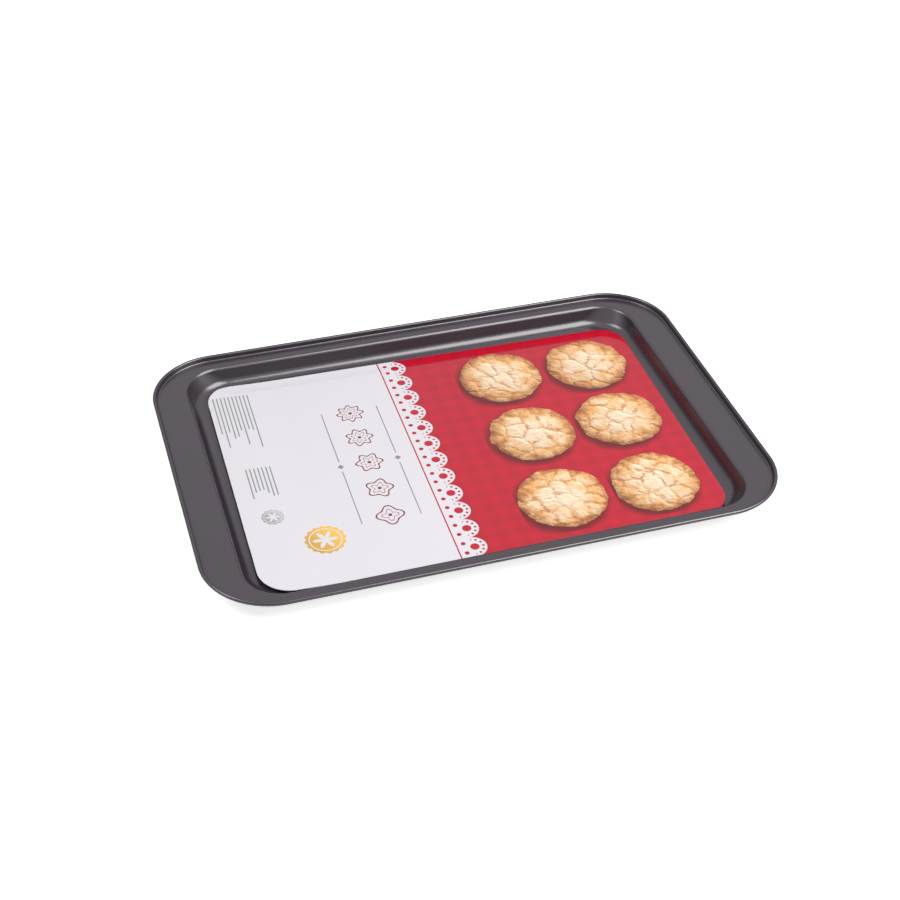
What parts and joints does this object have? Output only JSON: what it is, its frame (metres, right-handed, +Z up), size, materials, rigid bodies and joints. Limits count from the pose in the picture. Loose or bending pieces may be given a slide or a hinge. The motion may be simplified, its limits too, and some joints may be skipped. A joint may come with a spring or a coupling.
{
  "type": "cookie sheet",
  "caption": "Rectangular pressed steel cookie sheet with a shallow round-cornered recess, flat ledges, a thin rolled rim, and a removable printed card lying in the recess.",
  "frame": {"origin": "middle of the base, on the surface that the cookie sheet stands on", "axes": "+X along the long side, to the right in the picture; +Y across, away from the camera; +Z up, out of the recess"},
  "size_m": [0.37, 0.255, 0.016],
  "materials": {
    "nonstick_steel": "dark grey nonstick coat on carbon steel, semi-gloss",
    "printed_card": "printed white and red board with a clear gloss film",
    "clear_glue": "soft clear glue"
  },
  "bodies": {
    "sheet": {"pan": "nonstick_steel"},
    "label": {"label_card": "printed_card", "glue_dot_front_left": "clear_glue", "glue_dot_front_right": "clear_glue", "glue_dot_back_left": "clear_glue", "glue_dot_back_right": "clear_glue"}
  },
  "joints": [
    {"name": "label_lift", "type": "slide", "parent": "sheet", "child": "label", "axis": [0, 0, 1], "range_m": [0, 0.05]}
  ]
}
